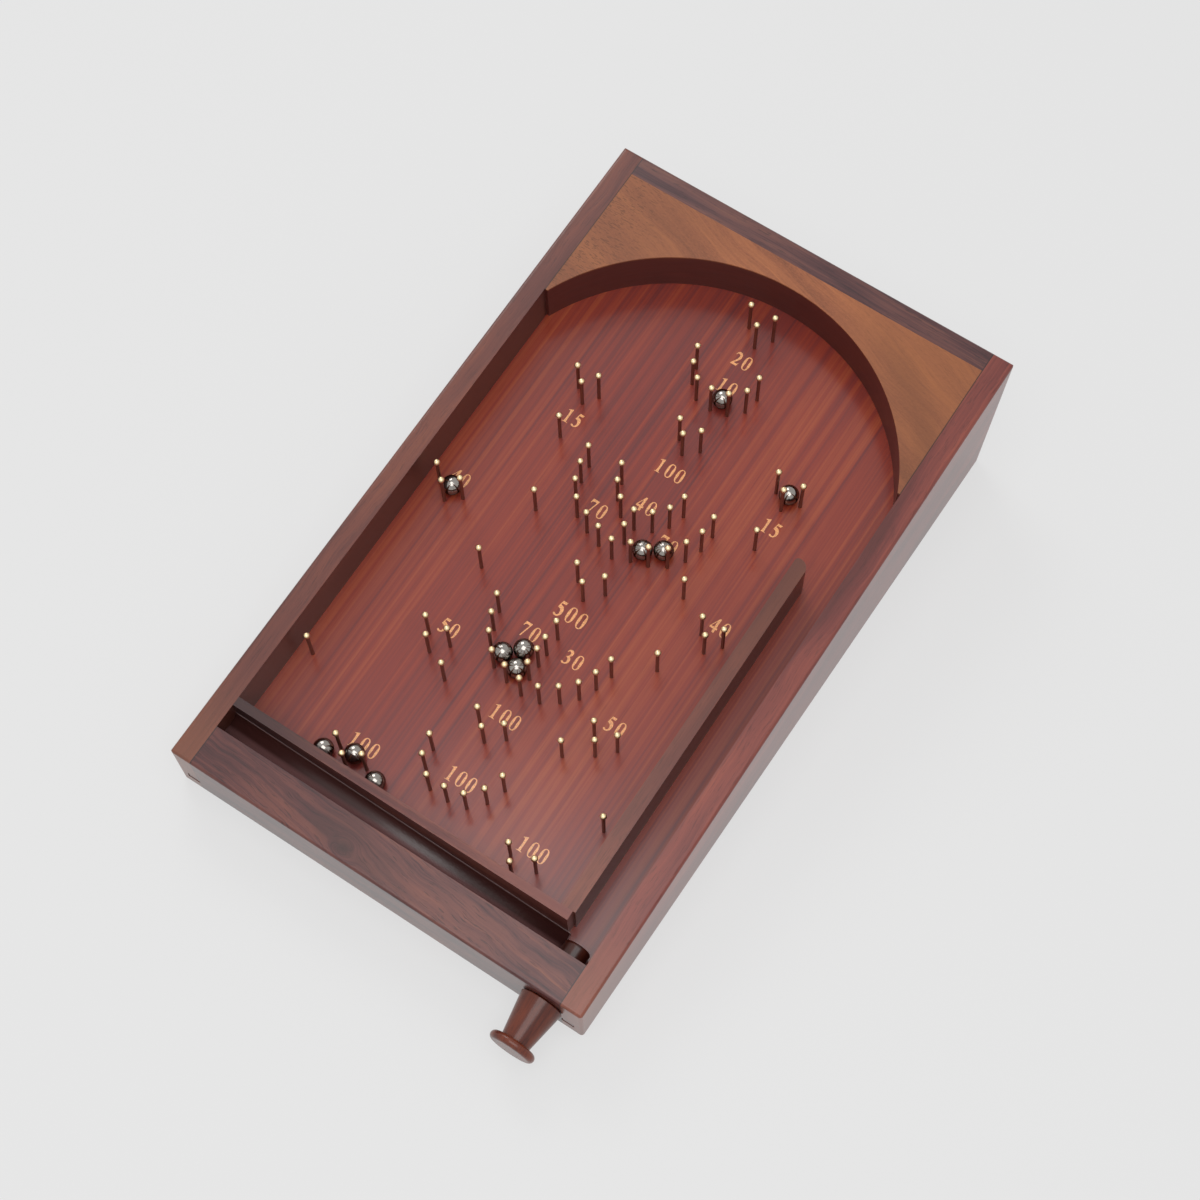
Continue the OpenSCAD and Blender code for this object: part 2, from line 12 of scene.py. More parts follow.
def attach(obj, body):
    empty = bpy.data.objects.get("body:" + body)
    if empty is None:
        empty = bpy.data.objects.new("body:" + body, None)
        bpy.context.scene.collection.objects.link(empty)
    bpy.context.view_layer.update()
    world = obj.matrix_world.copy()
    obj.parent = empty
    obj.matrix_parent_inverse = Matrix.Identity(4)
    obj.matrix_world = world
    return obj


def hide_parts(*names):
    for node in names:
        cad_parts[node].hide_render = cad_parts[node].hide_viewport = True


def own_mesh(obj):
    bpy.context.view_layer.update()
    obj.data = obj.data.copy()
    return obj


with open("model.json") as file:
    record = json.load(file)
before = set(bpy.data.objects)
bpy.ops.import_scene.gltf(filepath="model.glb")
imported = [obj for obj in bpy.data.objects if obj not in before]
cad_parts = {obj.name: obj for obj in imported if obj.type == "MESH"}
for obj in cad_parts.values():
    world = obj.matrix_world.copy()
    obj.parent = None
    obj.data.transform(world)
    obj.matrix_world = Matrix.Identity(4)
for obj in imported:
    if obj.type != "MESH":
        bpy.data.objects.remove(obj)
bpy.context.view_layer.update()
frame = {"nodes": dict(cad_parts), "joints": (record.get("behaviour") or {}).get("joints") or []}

bl_info = {
    "name": "Bagatelle Board",
    "version": (1, 0, 0),
    "blender": (4, 5, 0),
    "location": "View3D > Sidebar > Bagatelle",
    "description": "Finishes, numerals and studio for a bagatelle board",
    "category": "Object",
}

# The board's own axes, read from the part: x right, y up the slope, z square to the slope
LIFT_AXIS = Vector(next(j["axis"] for j in frame["joints"] if j["name"] == "ball_1_lift"))
SLOPE = math.atan2(-LIFT_AXIS.y, LIFT_AXIS.z)

PIN_NODES = sorted(name for name in frame["nodes"] if name.startswith("pins_"))
BALL_NODES = sorted(name for name in frame["nodes"] if name.startswith("ball_") and name[5:].isdigit())

# Each painted numeral: its figures and the centre of its place on the board, in millimetres
NUMERALS = (
    ("20", -4.7, 119.1), ("10", -3.5, 104.5), ("15", -52.7, 54.2), ("15", 49.1, 57.0),
    ("100", -2.6, 56.0), ("40", -2.3, 36.1), ("70", -19.5, 23.1), ("70", 15.5, 25.5),
    ("40", -78.3, 2.6), ("40", 55.3, 5.5), ("500", -1.6, -24.5), ("70", -12.1, -40.6),
    ("30", 10.5, -41.2), ("50", -42.2, -58.1), ("50", 42.1, -56.6), ("100", 0.6, -78.3),
    ("100", 0.5, -111.1), ("100", -42.3, -121.2), ("100", 42.9, -120.1),
)
# The highest score is painted larger than the rest
LARGE_NUMERAL = "500"

# Five tones of a rosewood against its middle colour, in red, green and blue, darkest first
WOOD_TONES = (
    (0.36, 0.33, 0.42), (0.68, 0.62, 0.72), (1.0, 1.0, 1.0), (1.28, 1.3, 1.14), (1.62, 1.85, 1.3),
)
# Where on the scale of light and dark each tone stands
TONE_PLACES = (0.16, 0.36, 0.52, 0.66, 0.86)

# Fineness of a wood's features, per metre: across the grain, along it and into the wood
LINE_SCALE = (420, 9, 200)
HAIR_SCALE = (1700, 30, 800)
VESSEL_SCALE = (2300, 160, 900)
DRIFT_SCALE = (18, 14, 10)

# The hairline of a joint: its colour, how strongly it shows, and the distances from the side rail
# at which it starts and is full, in metres
JOINT_COLOUR = (0.02, 0.01, 0.01, 1)
JOINT_STRENGTH = 0.85
JOINT_FADE = (0.0007, 0.0002)

# Outlines of the figures, one unit tall: points of each loop, True where the outline bends smoothly
S, C = True, False
FIGURES = {
    "1": [[
        (0.07, 0.0, C), (0.07, 0.03, C), (0.16, 0.05, S), (0.185, 0.13, S), (0.185, 0.78, S),
        (0.16, 0.85, S), (0.06, 0.85, C), (0.05, 0.88, C), (0.31, 1.0, C), (0.35, 1.0, C),
        (0.35, 0.13, S), (0.375, 0.05, S), (0.46, 0.03, C), (0.46, 0.0, C),
    ]],
    "2": [[
        (0.02, 0.0, C), (0.43, 0.0, C), (0.5, 0.25, C), (0.46, 0.25, C), (0.4, 0.17, S),
        (0.32, 0.155, C), (0.18, 0.155, C), (0.34, 0.36, S), (0.45, 0.55, S), (0.47, 0.73, S),
        (0.4, 0.93, S), (0.25, 1.01, S), (0.1, 0.94, S), (0.025, 0.75, C), (0.06, 0.735, C),
        (0.11, 0.83, S), (0.19, 0.86, S), (0.29, 0.79, S), (0.31, 0.66, S), (0.26, 0.47, S),
        (0.14, 0.25, S), (0.02, 0.05, C),
    ]],
    "3": [[
        (0.03, 0.79, C), (0.1, 0.94, S), (0.25, 1.01, S), (0.4, 0.94, S), (0.44, 0.79, S),
        (0.39, 0.63, S), (0.31, 0.57, C), (0.42, 0.48, S), (0.47, 0.31, S), (0.38, 0.08, S),
        (0.17, -0.01, S), (0.04, 0.02, S), (0.0, 0.09, S), (0.05, 0.14, S), (0.12, 0.12, S),
        (0.2, 0.08, S), (0.28, 0.13, S), (0.31, 0.25, S), (0.26, 0.41, S), (0.13, 0.48, C),
        (0.13, 0.51, C), (0.23, 0.58, S), (0.28, 0.7, S), (0.25, 0.83, S), (0.18, 0.87, S),
        (0.11, 0.84, S), (0.065, 0.775, C),
    ]],
    "4": [
        [
            (0.27, 0.0, C), (0.27, 0.23, C), (0.0, 0.23, C), (0.0, 0.33, C), (0.33, 1.0, C),
            (0.43, 1.0, C), (0.43, 0.37, C), (0.51, 0.37, C), (0.51, 0.23, C), (0.43, 0.23, C),
            (0.43, 0.0, C),
        ],
        [(0.27, 0.37, C), (0.27, 0.77, C), (0.07, 0.37, C)],
    ],
    "5": [[
        (0.14, 1.0, C), (0.45, 1.0, C), (0.4, 0.84, C), (0.17, 0.84, C), (0.14, 0.74, C),
        (0.32, 0.68, S), (0.44, 0.54, S), (0.47, 0.36, S), (0.38, 0.09, S), (0.18, -0.01, S),
        (0.05, 0.02, S), (0.0, 0.09, S), (0.05, 0.14, S), (0.12, 0.12, S), (0.2, 0.08, S),
        (0.29, 0.14, S), (0.31, 0.28, S), (0.24, 0.46, S), (0.05, 0.55, C),
    ]],
    "7": [[
        (0.06, 1.0, C), (0.49, 1.0, C), (0.49, 0.95, C), (0.23, 0.0, C), (0.15, 0.0, C),
        (0.38, 0.83, C), (0.17, 0.83, S), (0.09, 0.79, S), (0.05, 0.69, C), (0.01, 0.69, C),
    ]],
    "0": [
        [(0.265, 1.01, S), (0.52, 0.5, S), (0.265, -0.01, S), (0.01, 0.5, S)],
        [(0.265, 0.95, S), (0.355, 0.5, S), (0.265, 0.05, S), (0.175, 0.5, S)],
    ],
}


class BoardSizes(bpy.types.PropertyGroup):
    """Sizes of the board, and of the pieces that the scene shapes itself"""

    case_length: FloatProperty(
        name="Case Length", description="Length of the sloping rail tops",
        default=0.3435, min=0.3, unit="LENGTH", precision=4)
    front_height: FloatProperty(
        name="Front Height", description="Height of the front face, square to the slope",
        default=0.035, min=0.02, unit="LENGTH", precision=4)
    field_depth: FloatProperty(
        name="Field Depth", description="Depth of the playfield below the rail tops",
        default=0.024, min=0.01, unit="LENGTH", precision=4)
    figure_height: FloatProperty(
        name="Figure Height", description="Height of the painted figures",
        default=0.0071, min=0.002, unit="LENGTH", precision=4)
    large_figures: FloatProperty(
        name="Large Figures", description="Height of the highest score against the other figures",
        default=1.08, min=1, max=2)
    figure_step: FloatProperty(
        name="Figure Step", description="Step from one figure to the next, as a share of their height",
        default=0.7, min=0.3, max=1.0)
    paint_thickness: FloatProperty(
        name="Paint Thickness", description="Thickness of the figures' paint",
        default=0.00004, min=0.00001, unit="LENGTH", precision=6)
    figure_smoothness: IntProperty(
        name="Figure Smoothness", description="Segments in each bend of a figure", default=6, min=2, max=12)
    half_inside: FloatProperty(
        name="Half Inside", description="Half the width between the side rails",
        default=0.0915, min=0.05, unit="LENGTH", precision=4)
    cove_radius: FloatProperty(
        name="Cove Radius", description="Radius of the ball trough's cove",
        default=0.007, min=0.0058, unit="LENGTH", precision=4)
    cove_start: FloatProperty(
        name="Cove Start", description="Depth of the cove below the rail tops at its left end",
        default=0.0124, min=0.008, unit="LENGTH", precision=4)
    cove_floor: FloatProperty(
        name="Cove Floor", description="Wood under the cove at its right end",
        default=0.002, min=0.001, unit="LENGTH", precision=4)
    cove_segments: IntProperty(
        name="Cove Segments", description="Segments round the cove", default=32, min=8, max=96)
    panel_thickness: FloatProperty(
        name="Panel Thickness", description="Thickness of the playfield's panel and of its groove",
        default=0.004, min=0.002, unit="LENGTH", precision=4)
    groove_depth: FloatProperty(
        name="Groove Depth", description="Depth of the panel's groove in a side rail",
        default=0.006, min=0.003, unit="LENGTH", precision=4)
    filler_recess: FloatProperty(
        name="Filler Recess", description="How far the groove's filler sits behind the rail's end",
        default=0.0002, min=0.0001, unit="LENGTH", precision=5)


class BoardColours(bpy.types.PropertyGroup):
    """Colours of the board's finishes"""

    left_rail: FloatVectorProperty(
        name="Left Rail", description="Middle colour of the left rail's rosewood",
        default=(0.142, 0.037, 0.024), subtype="COLOR", min=0, max=1)
    right_rail: FloatVectorProperty(
        name="Right Rail", description="Middle colour of the right rail's rosewood",
        default=(0.215, 0.048, 0.035), subtype="COLOR", min=0, max=1)
    front_rail: FloatVectorProperty(
        name="Front Rail", description="Middle colour of the front rail's figured rosewood",
        default=(0.132, 0.038, 0.03), subtype="COLOR", min=0, max=1)
    back_rail: FloatVectorProperty(
        name="Back Rail", description="Middle colour of the back rail's dark rosewood",
        default=(0.108, 0.038, 0.034), subtype="COLOR", min=0, max=1)
    lane: FloatVectorProperty(
        name="Lane Rail", description="Middle colour of the lane rail",
        default=(0.19, 0.052, 0.03), subtype="COLOR", min=0, max=1)
    stop: FloatVectorProperty(
        name="Ball Stop", description="Middle colour of the ball stop",
        default=(0.175, 0.052, 0.04), subtype="COLOR", min=0, max=1)
    field: FloatVectorProperty(
        name="Playfield", description="Middle colour of the playfield",
        default=(0.252, 0.031, 0.0155), subtype="COLOR", min=0, max=1)
    veneer: FloatVectorProperty(
        name="Arch Veneer", description="Middle colour of the veneer on the arch block",
        default=(0.34, 0.115, 0.045), subtype="COLOR", min=0, max=1)
    arch: FloatVectorProperty(
        name="Arch Wall", description="Colour of the arch block's stained wall",
        default=(0.095, 0.016, 0.011), subtype="COLOR", min=0, max=1)
    trough: FloatVectorProperty(
        name="Ball Trough", description="Colour of the ball trough",
        default=(0.045, 0.012, 0.01), subtype="COLOR", min=0, max=1)
    knob: FloatVectorProperty(
        name="Knob", description="Colour of the plunger's turned wood",
        default=(0.14, 0.028, 0.012), subtype="COLOR", min=0, max=1)
    paint: FloatVectorProperty(
        name="Numerals", description="Colour of the painted numerals",
        default=(0.86, 0.37, 0.13), subtype="COLOR", min=0, max=1)
    brass: FloatVectorProperty(
        name="Brass", description="Colour of the pins",
        default=(0.88, 0.68, 0.4), subtype="COLOR", min=0, max=1)
    steel: FloatVectorProperty(
        name="Steel", description="Colour of the balls",
        default=(0.34, 0.315, 0.29), subtype="COLOR", min=0, max=1)


class StudioSettings(bpy.types.PropertyGroup):
    """Camera, floor and light"""

    lens: FloatProperty(
        name="Lens", description="Focal length on a 36 mm wide frame",
        default=71.41, min=20, max=300, unit="CAMERA")
    floor: FloatVectorProperty(
        name="Floor", description="Colour of the floor and of what lies beyond it",
        default=(0.79, 0.79, 0.79), subtype="COLOR", min=0, max=1)
    sky_level: FloatProperty(
        name="Sky Level", description="Strength of the even light from all round", default=0.5, min=0, max=2)
    lamp_power: FloatProperty(
        name="Lamp Power", description="Power of the main softbox, in watts", default=11.5, min=0, max=100)
    lamp_size: FloatProperty(
        name="Lamp Size", description="Width of the square main softbox",
        default=1.2, min=0.1, max=4, unit="LENGTH")
    side_power: FloatProperty(
        name="Side Power", description="Power of the smaller softbox at the left, in watts",
        default=8.0, min=0, max=100)
    side_size: FloatProperty(
        name="Side Size", description="Width of the square softbox at the left",
        default=0.8, min=0.1, max=4, unit="LENGTH")


def board_matrix(sizes):
    """Places the board's axes, whose origin is the centre of the rail tops, over the level ground."""
    lift = sizes.case_length / 2 * math.sin(SLOPE) + sizes.front_height * math.cos(SLOPE)
    shift = -sizes.front_height * math.sin(SLOPE) / 2
    return Matrix.Translation((0, shift, lift)) @ Matrix.Rotation(SLOPE, 4, "X")


class Value:
    """A shader socket that takes part in Python expressions, which add its Math nodes."""

    def __init__(self, finish, socket):
        self.finish = finish
        self.socket = socket

    def math(self, operation, *others):
        values = {i: v for i, v in enumerate((self,) + others)}
        return self.finish.node("ShaderNodeMath", {"operation": operation}, values)

    def __add__(self, other):
        return self.math("ADD", other)

    __radd__ = __add__

    def __sub__(self, other):
        return self.math("SUBTRACT", other)

    def __rsub__(self, other):
        return self.finish.node("ShaderNodeMath", {"operation": "SUBTRACT"}, {0: other, 1: self})

    def __mul__(self, other):
        return self.math("MULTIPLY", other)

    __rmul__ = __mul__

    def __truediv__(self, other):
        return self.math("DIVIDE", other)

    def __rtruediv__(self, other):
        return self.finish.node("ShaderNodeMath", {"operation": "DIVIDE"}, {0: other, 1: self})

    def __pow__(self, other):
        return self.math("POWER", other)

    def __abs__(self):
        return self.math("ABSOLUTE")

    def held(self):
        """The value, kept between 0 and 1."""
        return self.finish.node("ShaderNodeClamp", {}, {"Value": self})

    def step(self, low, high):
        """0 below low, 1 above high and a smooth rise between them."""
        return self.finish.node(
            "ShaderNodeMapRange", {"interpolation_type": "SMOOTHSTEP"},
            {"Value": self, "From Min": low, "From Max": high}, "Result")


class Finish:
    """One material or sky: its surface, and the nodes that vary it."""

    def __init__(self, name, kind="materials", surface="Principled BSDF"):
        self.material = getattr(bpy.data, kind).new(name)
        self.material.use_nodes = True
        self.tree = self.material.node_tree
        self.surface = self.tree.nodes[surface]

    def node(self, kind, settings, sockets, output=0):
        """Adds a node: its settings first, then its sockets' values or links."""
        made = self.tree.nodes.new(kind)
        for name, value in settings.items():
            if name == "stops":
                self._stops(made.color_ramp, value)
            else:
                setattr(made, name, value)
        self.fill(made, sockets)
        return Value(self, made.outputs[output])

    def fill(self, made, sockets):
        """Links each socket that is given a Value, and sets the others."""
        for name, value in sockets.items():
            if isinstance(value, Value):
                self.tree.links.new(value.socket, made.inputs[name])
            else:
                made.inputs[name].default_value = value

    def _stops(self, ramp, stops):
        while len(ramp.elements) < len(stops):
            ramp.elements.new(0.5)
        for element, (place, colour) in zip(ramp.elements, stops):
            element.position = place
            element.color = colour

    def set(self, **sockets):
        """Sets the surface's sockets; a double underscore in a name stands for a space."""
        self.fill(self.surface, {name.replace("__", " "): value for name, value in sockets.items()})
        return self.material

    def place(self):
        """Coordinates in metres along the board's own axes, from the origin on the ground."""
        at = self.node("ShaderNodeTexCoord", {}, {}, "Object")
        return self.node(
            "ShaderNodeMapping", {"vector_type": "POINT"}, {"Vector": at, "Rotation": (-SLOPE, 0, 0)})

    def stretch(self, at, scale, offset=(0, 0, 0)):
        """The coordinates scaled along each axis, then moved."""
        return self.node("ShaderNodeMapping", {"vector_type": "POINT"},
                         {"Vector": at, "Scale": scale, "Location": offset})

    def noise(self, at, detail=2.0, roughness=0.5, distortion=0.0):
        """Soft noise from 0 to 1 at a scale of one per unit of its coordinates."""
        return self.node("ShaderNodeTexNoise", {}, {
            "Vector": at, "Scale": 1.0, "Detail": detail, "Roughness": roughness, "Distortion": distortion})

    def parts(self, at):
        """The x, y and z of a vector."""
        first = self.node("ShaderNodeSeparateXYZ", {}, {0: at})
        return [Value(self, out) for out in first.socket.node.outputs]

    def facing(self, direction):
        """How far the surface faces a direction: 1 straight, 0 square to it, -1 away."""
        normal = self.node("ShaderNodeNewGeometry", {}, {}, "True Normal")
        return self.node(
            "ShaderNodeVectorMath", {"operation": "DOT_PRODUCT"}, {0: normal, 1: direction}, "Value")

    def blend(self, factor, first, second):
        """Colour between two colours."""
        return self.node("ShaderNodeMix", {"data_type": "RGBA"}, {0: factor, 6: first, 7: second}, 2)

    def bump(self, height, distance):
        """A normal that follows a height, over a distance in metres."""
        return self.node("ShaderNodeBump", {}, {
            "Height": height, "Distance": distance, "Strength": 1.0}, "Normal")


def tint(colour, level=1.0):
    """A colour made lighter or darker, with its alpha."""
    return (*(min(1.0, part * level) for part in colour[:3]), 1.0)


def tones_of(colour, spread=1.0):
    """Five tones of one wood, from its dark figure to its pale streaks."""
    return tuple(
        (*(part * (1 + (level - 1) * spread) for part, level in zip(colour, tone)), 1.0)
        for tone in WOOD_TONES)


def timber(finish, across, along, deep, tones, seed=0.0, band=0.012, streak=1.0, pore=0.4):
    """Wood with its grain along one coordinate: broad bands, fine streaks and pores.

    The tones run from the darkest to the lightest. Returns the colour and the relief."""
    at = finish.node("ShaderNodeCombineXYZ", {}, {"X": across, "Y": along, "Z": deep})
    broad = finish.noise(finish.stretch(at, (1 / band, 0.07 / band, 0.5 / band), (seed, 0, 0)), 2, 0.5)
    lines = finish.noise(finish.stretch(at, LINE_SCALE, (0, seed, 0)), 3, 0.6)
    hair = finish.noise(finish.stretch(at, HAIR_SCALE, (0, 0, seed)), 2, 0.6)
    vessel = finish.noise(finish.stretch(at, VESSEL_SCALE, (seed, seed, 0)), 2, 0.5)
    drift = finish.noise(finish.stretch(at, DRIFT_SCALE, (seed, 0, 2)), 2, 0.5)
    detail = lines * (0.62 * streak) + hair * (0.42 * streak)
    # Each noise averages a half, so the last term brings the middle to a little under a half
    shade = (broad * 0.95 + drift * 0.5 + detail - (0.52 * streak + 0.27)).held()
    colour = finish.node("ShaderNodeValToRGB", {"stops": tuple(zip(TONE_PLACES, tones))}, {"Fac": shade})
    pores = vessel.step(0.57, 0.68) * pore
    colour = finish.blend(pores, colour, tint(tones[0], 0.55))
    return colour, lines * 0.35 + hair * 0.3 - pores * 0.8


def satin(finish, colour, relief, rough=0.42, coat=0.7, coat_rough=0.28, depth=0.00006):
    """Satin lacquer over wood."""
    return finish.set(
        Base__Color=colour, Roughness=rough, Specular__IOR__Level=0.2,
        Coat__Weight=coat, Coat__Roughness=coat_rough, Normal=finish.bump(relief, depth))


def joint_line(finish, x, colour, half_inside):
    """Darkens the hairline where a cross piece meets the side rails."""
    start, full = (half_inside - gap for gap in JOINT_FADE)
    return finish.blend(abs(x).step(start, full) * JOINT_STRENGTH, colour, JOINT_COLOUR)


def dress(name, material):
    """Gives a CAD node its material."""
    mesh = frame["nodes"][name].data
    mesh.materials.clear()
    mesh.materials.append(material)


class BAGATELLE_OT_rails(bpy.types.Operator):
    """Finish the four rails of the case in figured rosewood"""

    bl_idname = "bagatelle.rails"
    bl_label = "Rails"

    knot = Vector((-0.0175, -0.161))
    knot_radius = 0.0042
    warm_brown = (0.3, 0.11, 0.055)
    warm_end = (-0.165, -0.115)
    inner_painted_shade = (0.045, 0.012, 0.009, 1)
    dark_cloud_ends = (-0.03, 0.05)

    def execute(self, context):
        colours = context.scene.bagatelle_colours
        half_inside = context.scene.bagatelle_sizes.half_inside
        left = self.side_rail("left_rail_rosewood", colours.left_rail, 3.3, (1, 0, 0))
        dress("left_rail", left)
        right = self.side_rail("right_rail_rosewood", colours.right_rail, 7.7, (-1, 0, 0))
        dress("right_rail", right)
        dress("back_rail", self.back_rail(colours.back_rail, half_inside))
        dress("front_rail", self.front_rail(colours.front_rail, half_inside))
        return {"FINISHED"}

    def side_rail(self, name, middle, seed, inward):
        """The rail's inner face is darkened with painted shade, and its front end is a warmer brown."""
        finish = Finish(name)
        at = finish.place()
        x, y, z = finish.parts(at)
        sway = finish.noise(finish.stretch(at, (8, 14, 8), (seed, 0, 0)), 2)
        across = x + (sway - 0.5) * 0.012
        colour, relief = timber(finish, across, y, z, tones_of(middle, 0.85), seed, 0.011, 0.9)
        front = 1 - y.step(*self.warm_end)
        colour = finish.blend(front * sway * 0.7, colour, tint(self.warm_brown))
        # Painted shade: the face that looks across the board is darkened
        inside = finish.facing(inward).step(0.5, 0.9)
        colour = finish.blend(inside * 0.68, colour, self.inner_painted_shade)
        return satin(finish, colour, relief)

    def back_rail(self, middle, half_inside):
        finish = Finish("back_rail_rosewood")
        at = finish.place()
        x, y, z = finish.parts(at)
        sway = finish.noise(finish.stretch(at, (9, 9, 9), (5, 0, 0)), 2)
        across = y + (sway - 0.5) * 0.01
        colour, relief = timber(finish, across, x, z, tones_of(middle, 1.1), 2.9, 0.004, 1.2, 0.55)
        return satin(finish, joint_line(finish, x, colour, half_inside), relief)

    def front_rail(self, middle, half_inside):
        """The front rail's grain runs along it and parts round a knot."""
        finish = Finish("front_rail_rosewood")
        at = finish.place()
        x, y, z = finish.parts(at)
        dx = (x - self.knot.x) * 0.7
        dy = y - self.knot.y
        away = dx ** 2 + dy ** 2
        core = self.knot_radius ** 2
        swirl = finish.noise(finish.stretch(at, (20, 42, 42), (1.5, 0, 0)), 3, 0.55)
        flow = dy - dy * (1 / (away + core * 0.25)) * core + dx * 0.16 + (swirl - 0.5) * 0.011
        colour, relief = timber(finish, flow, x, z, tones_of(middle, 1.15), 4.4, 0.0042, 0.95, 0.55)
        ring = (away / core).step(0.0, 1.0)
        eye = 1 - (away / core).step(0.0, 0.22)
        colour = finish.blend((1 - ring) * 0.65 + eye * 0.3, colour, tint(middle, 0.25))
        cloud = finish.noise(finish.stretch(at, (24, 70, 40), (7, 3, 0)), 2)
        dark = cloud.step(0.5, 0.72) * (1 - x.step(*self.dark_cloud_ends))
        colour = finish.blend(dark * 0.55, colour, tint(middle, 0.45))
        return satin(finish, joint_line(finish, x, colour, half_inside), relief)


class BAGATELLE_OT_fillers(bpy.types.Operator):
    """Fill the ends of the panel's grooves, which come out at the side rails' front ends"""

    bl_idname = "bagatelle.fillers"
    bl_label = "Groove Fillers"

    length = 0.012
    chamfer = 0.0004
    wood = (0.11, 0.045, 0.04)

    def execute(self, context):
        sizes = context.scene.bagatelle_sizes
        finish = Finish("groove_filler_wood")
        x, y, z = finish.parts(finish.place())
        colour, relief = timber(finish, z, x, y, tones_of(self.wood, 0.7), 8.1, 0.004)
        material = satin(finish, colour, relief)
        for side, name in ((-1, "groove_filler_left"), (1, "groove_filler_right")):
            piece = bpy.data.objects.new(name, self.strip(sizes, side))
            piece.data.materials.append(material)
            context.scene.collection.objects.link(piece)
            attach(piece, "board")
        return {"FINISHED"}

    def strip(self, sizes, side):
        """A strip with its front edges chamfered."""
        front = -sizes.case_length / 2 + sizes.filler_recess
        x = sorted(side * (sizes.half_inside + d) for d in (0, sizes.groove_depth))
        z = (-sizes.field_depth - sizes.panel_thickness, -sizes.field_depth)
        rings = []
        for y, inset in ((front, self.chamfer), (front + self.chamfer, 0), (front + self.length, 0)):
            low, high = z[0] + inset, z[1] - inset
            left, right = x[0] + inset, x[1] - inset
            rings += [(left, y, low), (right, y, low), (right, y, high), (left, y, high)]
        faces = [(0, 1, 2, 3), (11, 10, 9, 8)]
        for ring in (0, 4):
            for i in range(4):
                j = (i + 1) % 4
                faces.append((ring + i, ring + 4 + i, ring + 4 + j, ring + j))
        mesh = bpy.data.meshes.new("strip")
        mesh.from_pydata(rings, [], faces)
        mesh.transform(board_matrix(sizes))
        return mesh


class BAGATELLE_OT_base(bpy.types.Operator):
    """Finish the base panel, its screws and the corner dowels"""

    bl_idname = "bagatelle.base"
    bl_label = "Base"

    panel_wood = (0.42, 0.27, 0.15)
    dowel_wood = (0.5, 0.34, 0.2)
    screw_grey = (0.5, 0.49, 0.47, 1)

    def execute(self, context):
        panel = Finish("base_plywood")
        x, y, z = panel.parts(panel.place())
        colour, relief = timber(panel, x, y, z, tones_of(self.panel_wood, 0.5), 3.0, 0.02)
        dress("base_panel", panel.set(Base__Color=colour, Roughness=0.7, Normal=panel.bump(relief, 0.0001)))
        dowel = Finish("dowel_beech")
        x, y, z = dowel.parts(dowel.place())
        colour, relief = timber(dowel, y, x, z, tones_of(self.dowel_wood, 0.5), 1.0, 0.003)
        dress("frame_dowels", dowel.set(Base__Color=colour, Roughness=0.7, Normal=dowel.bump(relief, 0.0001)))
        screw = Finish("screw_steel")
        scratches = screw.noise(screw.stretch(screw.place(), (900, 900, 900)), 3)
        dress("base_screws", screw.set(
            Base__Color=self.screw_grey, Metallic=1.0, Roughness=scratches * 0.25 + 0.25))
        return {"FINISHED"}


class BAGATELLE_OT_playfield(bpy.types.Operator):
    """Finish the playfield in glossy red mahogany with straight stripes"""

    bl_idname = "bagatelle.playfield"
    bl_label = "Playfield"

    stripe_scale = (300, 1.5, 30)
    fine_scale = (900, 5, 30)
    broad_scale = (36, 0.9, 10)
    patch_scale = (14, 9, 10)
    fleck_scale = (1500, 60, 30)
    ripple_scale = (60, 25, 20)
    # Place of each tone, and what it is times the middle colour's red, green and blue
    tones = ((0.2, (0.5, 0.6, 1.2)), (0.4, (0.8, 0.8, 1.1)), (0.55, (1, 1, 1)), (0.82, (1.35, 2.0, 1.4)))
    # Painted shade and sheen towards the front: where it fades in along y, and its darker, more purple tone
    # against the middle colour
    front_shade_and_sheen_fade = (-0.16, -0.07)
    front_shade_and_sheen_tone = (0.6, 0.8, 1.6)

    def toned(self, middle, tone):
        """The middle colour with its red, green and blue each changed by a share."""
        return (*(part * level for part, level in zip(middle, tone)), 1)

    def execute(self, context):
        middle = context.scene.bagatelle_colours.field
        finish = Finish("playfield_mahogany")
        at = finish.place()
        stripe = finish.noise(finish.stretch(at, self.stripe_scale), 2, 0.6)
        fine = finish.noise(finish.stretch(at, self.fine_scale), 2, 0.5)
        broad = finish.noise(finish.stretch(at, self.broad_scale, (0.4, 0, 0)), 2, 0.5)
        patch = finish.noise(finish.stretch(at, self.patch_scale, (2.4, 0, 0)), 2, 0.5)
        fleck = finish.noise(finish.stretch(at, self.fleck_scale), 2, 0.5)
        shade = (stripe * 0.95 + fine * 0.6 + broad * 0.7 + patch * 0.35 - 0.81).held()
        stops = tuple((place, self.toned(middle, tone)) for place, tone in self.tones)
        colour = finish.node("ShaderNodeValToRGB", {"stops": stops}, {"Fac": shade})
        colour = finish.blend(fleck.step(0.6, 0.7) * 0.3, colour, tint(middle, 0.5))
        y = finish.parts(at)[1]
        # Painted shade and sheen: darker and more purple towards the front
        front_shade_and_sheen = 1 - y.step(*self.front_shade_and_sheen_fade)
        colour = finish.blend(front_shade_and_sheen * 0.35, colour, self.toned(middle, self.front_shade_and_sheen_tone))
        ripple = finish.noise(finish.stretch(at, self.ripple_scale), 2)
        dress("playfield", finish.set(
            Base__Color=colour, Roughness=0.4, Specular__IOR__Level=0.15,
            Coat__Weight=1.0, Coat__Roughness=0.2, Normal=finish.bump(ripple, 0.00008)))
        return {"FINISHED"}


